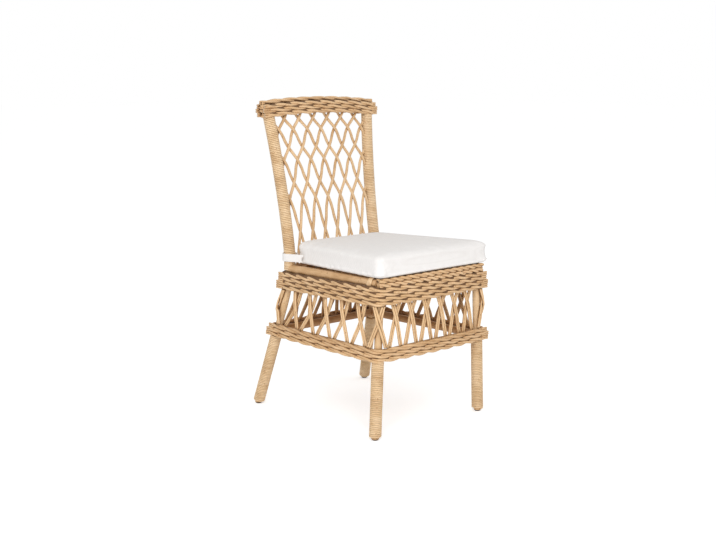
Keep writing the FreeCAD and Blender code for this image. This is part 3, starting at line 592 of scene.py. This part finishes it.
class RATTAN_OT_braids(bpy.types.Operator):
    """Roughens the braid strands and lays a band of painted shade inside each braid"""
    bl_idname = "rattan.braids"
    bl_label = "Braids"

    def execute(self, context):
        sizes = context.scene.rattan_sizes
        # Each braid's finish, and how many core rises its band of painted shade is moved up, or down if
        # below nought
        dressing = {"front_border_braid": ("across", -0.7), "top_braid_front": ("across", 1.0),
                    "top_braid_back": ("across", 1.0), "top_braid_cap": ("across", -1.0)}
        for side in SIDES:
            grain = "skirt_across" if side in ("front", "back") else "skirt_deep"
            dressing["upper_braid_" + side] = (grain, 1.5)
            dressing["lower_braid_" + side] = (grain, 0.0)
        for node, (grain, rise) in dressing.items():
            piece = copy_node(node, node + "_strands")
            swell(piece, sizes.strand_swell)
            roughen(piece, sizes.cane_unevenness, sizes.braid_lump)
            apply_modifiers(piece)
            put(piece, "frame", "rattan_braid", materials[grain], node)
            join_pieces([piece, braid_painted_shade(node, sizes, rise * sizes.core_rise)], piece.name)
        return {"FINISHED"}


def cut_strand(place, direction, length, radius, finish):
    """One strand's cut end: a short round cane with a softened rim."""
    rim = radius * 0.25
    end_facing = 0.9
    deselect_all()
    bpy.ops.mesh.primitive_cylinder_add(vertices=14, radius=radius, depth=length)
    piece = bpy.context.object
    piece.data.materials.append(finish)
    piece.data.materials.append(materials["cut"])
    edit_all(piece)
    bpy.ops.mesh.bevel(offset=rim, segments=2, affect="EDGES", clamp_overlap=True)
    bpy.ops.object.mode_set(mode="OBJECT")
    for face in piece.data.polygons:
        face.material_index = 1 if face.normal.z > end_facing else 0
    bpy.ops.object.shade_smooth_by_angle(angle=CUT_END_SMOOTH)
    piece.rotation_euler = Vector(direction).to_track_quat("Z", "Y").to_euler()
    piece.location = Vector(place) + Vector(direction).normalized() * (length / 2)
    bpy.ops.object.transform_apply(location=True, rotation=True, scale=True)
    return piece


def leg_point(side, end, height):
    """Where a leg's centre line passes a height."""
    line = LEG_LINE if end == "front" else POST_LINE
    for below, above in zip(line, line[1:]):
        if height <= above[2]:
            break
    share = (height - below[2]) / (above[2] - below[2])
    spacing, depth, _ = Vector(below).lerp(Vector(above), share)
    return Vector((side * spacing, depth, height))


class RATTAN_OT_cut_ends(bpy.types.Operator):
    """Leaves the cut ends of the braid strands standing past the corners"""
    bl_idname = "rattan.cut_ends"
    bl_label = "Cut Ends"

    def execute(self, context):
        sizes = context.scene.rattan_sizes
        step = sizes.braid_row_step
        # Each ring's lowest row, number of rows and fall from front to back
        rings = {"upper_ring": (UPPER_RING_ROW, 4, SEAT_FALL * SEAT_DEPTH),
                 "lower_ring": (LOWER_RING_ROW, 3, 0.0)}
        # The end and side of each cut corner, the way that its strands run and the side they pass
        corners = (("back", -1, (0, 1, 0), (-1, 0, 0)), ("back", 1, (0, 1, 0), (1, 0, 0)),
                   ("front", 1, (1, 0, 0), (0, -1, 0)))
        for ring, (lowest, rows, fall) in rings.items():
            ends = []
            for end, side, along, out in corners:
                drop = fall if end == "back" else 0.0
                for row in range(rows):
                    place = leg_point(side, end, lowest + step * row - drop)
                    ends += self.pair(place, along, out, row, sizes.cut_end_reach, "skirt_across")
            self.finish(ends, ring + "_cut_ends")
        ends = []
        for side in (-1, 1):
            for row in range(3):
                place = leg_point(side, "back", TOP_RAIL_ROW + step * row)
                for out in (-1, 1):
                    ends += self.pair(place, (side, 0, 0), (0, out, 0), row, sizes.top_end_reach, "across")
        self.finish(ends, "top_rail_cut_ends")
        return {"FINISHED"}

    def pair(self, place, along, out, row, least, finish):
        """The two strands of a row, cut off unevenly."""
        sizes = bpy.context.scene.rattan_sizes
        beside = place + Vector(out) * sizes.cut_end_outset
        ends = []
        for twin in (-1, 1):
            unevenness = (5 * row + 2 * twin) % 4
            reach = least + sizes.cut_end_step * unevenness
            start = beside + Vector((0, 0, twin * sizes.cut_end_spacing))
            ends.append(cut_strand(start, along, reach, sizes.cut_end_radius, materials[finish]))
        return ends

    def finish(self, ends, name):
        piece = join_pieces(ends, name)
        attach(piece, "frame")


class RATTAN_OT_canes(bpy.types.Operator):
    """Roughens the canes of the skirt, the back and the woven seat"""
    bl_idname = "rattan.canes"
    bl_label = "Open Canes"

    def execute(self, context):
        sizes = context.scene.rattan_sizes
        finish = {"back_lattice_rising_left": "upright", "back_lattice_rising_right": "upright",
                  "seat_wefts": "skirt_across"}
        for side in SIDES:
            finish["skirt_canes_" + side] = "skirt_upright"
        for corner in CORNERS:
            finish["corner_canes_" + corner] = "skirt_upright"
        for node, key in finish.items():
            piece = copy_node(node, node + "_grown")
            if node.startswith("back_lattice"):
                swell(piece, sizes.lattice_swell)
            roughen(piece, sizes.cane_unevenness, sizes.cane_lump)
            apply_modifiers(piece)
            put(piece, "frame", "rattan_cane", materials[key], node)
        return {"FINISHED"}


def wound_strip(name, loops, pitch, outside, depth):
    """A strip of peeled cane wound in even loops up the Z axis from the origin."""
    deselect_all()
    bpy.ops.mesh.primitive_plane_add(size=1.0, rotation=(math.pi / 2, 0, 0))
    piece = bpy.context.object
    piece.name = name
    piece.scale = (depth, pitch * STRIP_COVER, 1.0)
    piece.location = (outside - depth / 2, 0, pitch / 2)
    bpy.ops.object.transform_apply(location=True, rotation=True, scale=True)
    edit_all(piece)
    bpy.ops.mesh.bevel(offset=pitch * STRIP_ROUNDING, segments=2, affect="VERTICES")
    bpy.ops.mesh.select_all(action="SELECT")
    bpy.ops.mesh.delete(type="ONLY_FACE")
    bpy.ops.object.mode_set(mode="OBJECT")
    turn = piece.modifiers.new("Turns", "SCREW")
    turn.axis = "Z"
    turn.angle = 2 * math.pi
    turn.screw_offset = pitch
    turn.iterations = loops
    turn.steps = STRIP_STEPS
    turn.render_steps = STRIP_STEPS
    turn.use_smooth_shade = True
    apply_modifiers(piece)
    edit_all(piece)
    bpy.ops.mesh.fill_holes(sides=0)
    bpy.ops.mesh.select_all(action="SELECT")
    bpy.ops.mesh.normals_make_consistent(inside=False)
    bpy.ops.object.mode_set(mode="OBJECT")
    bpy.ops.object.shade_smooth_by_angle(angle=STRIP_SMOOTH)
    return piece


def lay_along(piece, start, end):
    """Turns a strip wound up the Z axis to lie along a straight pole."""
    make_active(piece)
    direction = Vector(end) - Vector(start)
    piece.rotation_euler = direction.to_track_quat("Z", "Y").to_euler()
    piece.location = start
    bpy.ops.object.transform_apply(location=True, rotation=True, scale=True)


def bend_along(piece, stops):
    """Bends a strip wound up the Z axis to follow a bowed pole, given as points with directions."""
    deselect_all()
    bpy.ops.curve.primitive_bezier_curve_add()
    line = bpy.context.object
    line.data.resolution_u = 48
    points = line.data.splines[0].bezier_points
    points.add(len(stops) - len(points))
    for index, (point, (place, along)) in enumerate(zip(points, stops)):
        before = Vector(stops[max(index - 1, 0)][0])
        after = Vector(stops[min(index + 1, len(stops) - 1)][0])
        direction = Vector(along).normalized()
        point.handle_left_type = "FREE"
        point.handle_right_type = "FREE"
        point.co = place
        point.handle_left = point.co - direction * ((point.co - before).length / 3)
        point.handle_right = point.co + direction * ((after - point.co).length / 3)
    modifier = piece.modifiers.new("Bow", "CURVE")
    modifier.object = line
    modifier.deform_axis = "POS_Z"
    apply_modifiers(piece)
    bpy.data.objects.remove(line, do_unlink=True)


class RATTAN_OT_bindings(bpy.types.Operator):
    """Winds peeled cane round the legs, the posts and the front ends of the side rails"""
    bl_idname = "rattan.bindings"
    bl_label = "Bindings"

    def execute(self, context):
        sizes = context.scene.rattan_sizes
        pitch, outside, depth = sizes.binding_pitch, sizes.binding_outside, sizes.binding_depth
        for hand, sign in HANDS:
            for end, line in (("front", LEG_LINE), ("back", POST_LINE)):
                foot = leg_point(sign, end, line[0][2])
                knee = leg_point(sign, end, line[1][2])
                axis = (knee - foot).normalized()
                start = foot + axis * sizes.binding_start
                piece = wound_strip(end + "_leg_wrap_" + hand, sizes.leg_turns, pitch, outside, depth)
                lay_along(piece, start, start + axis)
                put(piece, "frame", "rattan_binding", materials["bound"], end + "_leg_binding_" + hand)
            piece = wound_strip("back_post_wrap_" + hand, sizes.post_turns, pitch, outside, depth)
            stops = []
            for height, (out, back, up) in POST_BENDS:
                stops.append((leg_point(sign, "back", height), (sign * out, back, up)))
            bend_along(piece, stops)
            put(piece, "frame", "rattan_binding", materials["bound"], "back_post_binding_" + hand)
            low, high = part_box("seat_rail_binding_" + hand)
            middle = (low + high) / 2
            along = Vector((-sign * RAIL_INWARD, 1.0, -SEAT_FALL)).normalized()
            reach = along * (sizes.rail_wrap_pitch * (sizes.rail_wrap_turns + 1) / 2)
            piece = wound_strip("seat_rail_wrap_" + hand, sizes.rail_wrap_turns, sizes.rail_wrap_pitch,
                                sizes.rail_wrap_outside, sizes.rail_wrap_depth)
            lay_along(piece, middle - reach, middle + reach)
            put(piece, "frame", "rattan_binding", materials["bound"], "seat_rail_binding_" + hand)
        return {"FINISHED"}


def puff(cushion, pressure, swell_limit):
    """Lets the filling press the cover out, with each point held within a limit and the underside flat."""
    last_step = 20
    facing_down = -0.4
    flat = [vertex.co.copy() for vertex in cushion.data.vertices]
    resting = [vertex.normal.z < facing_down for vertex in cushion.data.vertices]
    filling = cushion.modifiers.new("Filling", "CLOTH")
    filling.settings.use_pressure = True
    filling.settings.uniform_pressure_force = pressure
    filling.settings.effector_weights.gravity = 0
    filling.point_cache.frame_start = 1
    filling.point_cache.frame_end = last_step
    scene = bpy.context.scene
    for step in range(1, last_step + 1):
        scene.frame_set(step)
    apply_modifiers(cushion)
    scene.frame_set(1)
    for vertex, start, rests in zip(cushion.data.vertices, flat, resting):
        moved = vertex.co - start
        if rests:
            vertex.co = start
        elif moved.length > swell_limit:
            vertex.co = start + moved * (swell_limit / moved.length)


def firm_rim(cushion, rim, lift):
    """Raises the cushion's rim and presses its crown flatter, up to the same summit."""
    heights = [vertex.co.z for vertex in cushion.data.vertices]
    base, summit = min(heights), max(heights)
    crown = summit - base - rim
    for vertex in cushion.data.vertices:
        height = vertex.co.z - base
        if height < rim:
            height *= (rim + lift) / rim
        else:
            height = rim + lift + (height - rim) * (crown - lift) / crown
        vertex.co.z = base + height


class RATTAN_OT_cushion(bpy.types.Operator):
    """Puffs the seat cushion and makes its ties"""
    bl_idname = "rattan.cushion"
    bl_label = "Cushion"

    def execute(self, context):
        sizes = context.scene.rattan_sizes
        cushion = copy_node("cushion_foam", "seat_cushion")
        swell(cushion, sizes.cover_thickness)
        cells = cushion.modifiers.new("Cells", "REMESH")
        cells.mode = "VOXEL"
        cells.voxel_size = sizes.cushion_voxel
        apply_modifiers(cushion)
        puff(cushion, sizes.cushion_pressure, sizes.cushion_swell)
        firm_rim(cushion, sizes.cushion_rim, sizes.cushion_rim_lift)
        finer = cushion.modifiers.new("Finer", "SUBSURF")
        finer.levels = 1
        finer.render_levels = 1
        apply_modifiers(cushion)
        bpy.ops.object.shade_smooth()
        put(cushion, "cushion", "cushion_fabric", materials["cloth"], "cushion_cover", "cushion_foam")
        for hand, _ in HANDS:
            tie = copy_node("cushion_tie_" + hand, "cushion_ribbon_" + hand)
            edit_all(tie)
            bpy.ops.mesh.subdivide(number_cuts=5)
            bpy.ops.object.mode_set(mode="OBJECT")
            roughen(tie, sizes.tie_fold, sizes.tie_lump)
            apply_modifiers(tie)
            bpy.ops.object.shade_smooth_by_angle(angle=STRIP_SMOOTH)
            put(tie, "cushion", "cushion_fabric", materials["cloth"], "cushion_tie_" + hand)
        return {"FINISHED"}


def seen_level(tree, unseen, seen):
    """A strength for what only lights the chair, and one for what the camera sees."""
    path = add(tree, "ShaderNodeLightPath")
    mirrored = add(tree, "ShaderNodeMath", operation="MAXIMUM")
    tree.links.new(path.outputs["Is Glossy Ray"], mirrored.inputs[0])
    tree.links.new(path.outputs["Is Transmission Ray"], mirrored.inputs[1])
    either = add(tree, "ShaderNodeMath", operation="MAXIMUM")
    tree.links.new(path.outputs["Is Camera Ray"], either.inputs[0])
    tree.links.new(mirrored.outputs[0], either.inputs[1])
    level = add(tree, "ShaderNodeMapRange")
    level.inputs["To Min"].default_value = unseen
    level.inputs["To Max"].default_value = seen
    tree.links.new(either.outputs[0], level.inputs["Value"])
    return level.outputs["Result"]


class RATTAN_OT_stage(bpy.types.Operator):
    """Sets the pale floor, the soft light and the camera"""
    bl_idname = "rattan.stage"
    bl_label = "Stage"

    def execute(self, context):
        scene = context.scene
        scene.view_settings.view_transform = "Standard"
        deselect_all()
        bpy.ops.mesh.primitive_plane_add(size=FLOOR_SIZE)
        floor = bpy.context.object
        floor.name = "studio_floor"
        material, tree, shader = new_material("studio_floor")
        shader.inputs["Base Color"].default_value = (*grey(FLOOR_TONE), 1.0)
        shader.inputs["Roughness"].default_value = 1.0
        shader.inputs["Specular IOR Level"].default_value = 0.0
        shader.inputs["Emission Color"].default_value = (*WHITE, 1.0)
        tree.links.new(seen_level(tree, 0.0, FLOOR_GLOW), shader.inputs["Emission Strength"])
        floor.data.materials.append(material)

        world = bpy.data.worlds.new("studio_world")
        scene.world = world
        world.use_nodes = True
        tree = world.node_tree
        back = tree.nodes["Background"]
        back.inputs["Color"].default_value = (*WHITE, 1.0)
        tree.links.new(seen_level(tree, ROUND_LIGHT, 1.0), back.inputs["Strength"])

        for name, place, size, power in LAMPS:
            bpy.ops.object.light_add(type="AREA", location=place)
            lamp = bpy.context.object
            lamp.name = name
            lamp.data.size = size
            lamp.data.energy = power
            aim = Vector(LAMP_AIM) - Vector(place)
            lamp.rotation_euler = aim.to_track_quat("-Z", "Y").to_euler()

        place = Vector(CAMERA_PLACE)
        aim = Vector(CAMERA_AIM)
        bpy.ops.object.camera_add(location=place)
        camera = bpy.context.object
        camera.name = "photo_camera"
        camera.rotation_euler = (aim - place).to_track_quat("-Z", "Y").to_euler()
        camera.data.sensor_fit = "HORIZONTAL"
        camera.data.sensor_width = SENSOR_WIDTH
        camera.data.lens = CAMERA_LENS
        scene.camera = camera
        return {"FINISHED"}


STEPS = (RATTAN_OT_finishes, RATTAN_OT_poles, RATTAN_OT_braids, RATTAN_OT_cut_ends, RATTAN_OT_canes,
         RATTAN_OT_bindings, RATTAN_OT_cushion, RATTAN_OT_stage)


class RATTAN_PT_panel(bpy.types.Panel):
    """Lists the chair's sizes, colours and steps"""
    bl_idname = "RATTAN_PT_panel"
    bl_label = "Rattan Chair"
    bl_space_type = "VIEW_3D"
    bl_region_type = "UI"
    bl_category = "Rattan Chair"

    def draw(self, context):
        for group in (context.scene.rattan_sizes, context.scene.rattan_colours):
            for name in group.__annotations__:
                self.layout.prop(group, name)
        for step in STEPS:
            self.layout.operator(step.bl_idname)


CLASSES = (RattanSizes, RattanColours) + STEPS + (RATTAN_PT_panel,)


def register():
    for item in CLASSES:
        bpy.utils.register_class(item)
    bpy.types.Scene.rattan_sizes = bpy.props.PointerProperty(type=RattanSizes)
    bpy.types.Scene.rattan_colours = bpy.props.PointerProperty(type=RattanColours)


def unregister():
    del bpy.types.Scene.rattan_colours
    del bpy.types.Scene.rattan_sizes
    for item in reversed(CLASSES):
        bpy.utils.unregister_class(item)


def main():
    register()
    bpy.ops.rattan.finishes()
    bpy.ops.rattan.poles()
    bpy.ops.rattan.braids()
    bpy.ops.rattan.cut_ends()
    bpy.ops.rattan.canes()
    bpy.ops.rattan.bindings()
    bpy.ops.rattan.cushion()
    bpy.ops.rattan.stage()


if __name__ == "__main__":
    main()
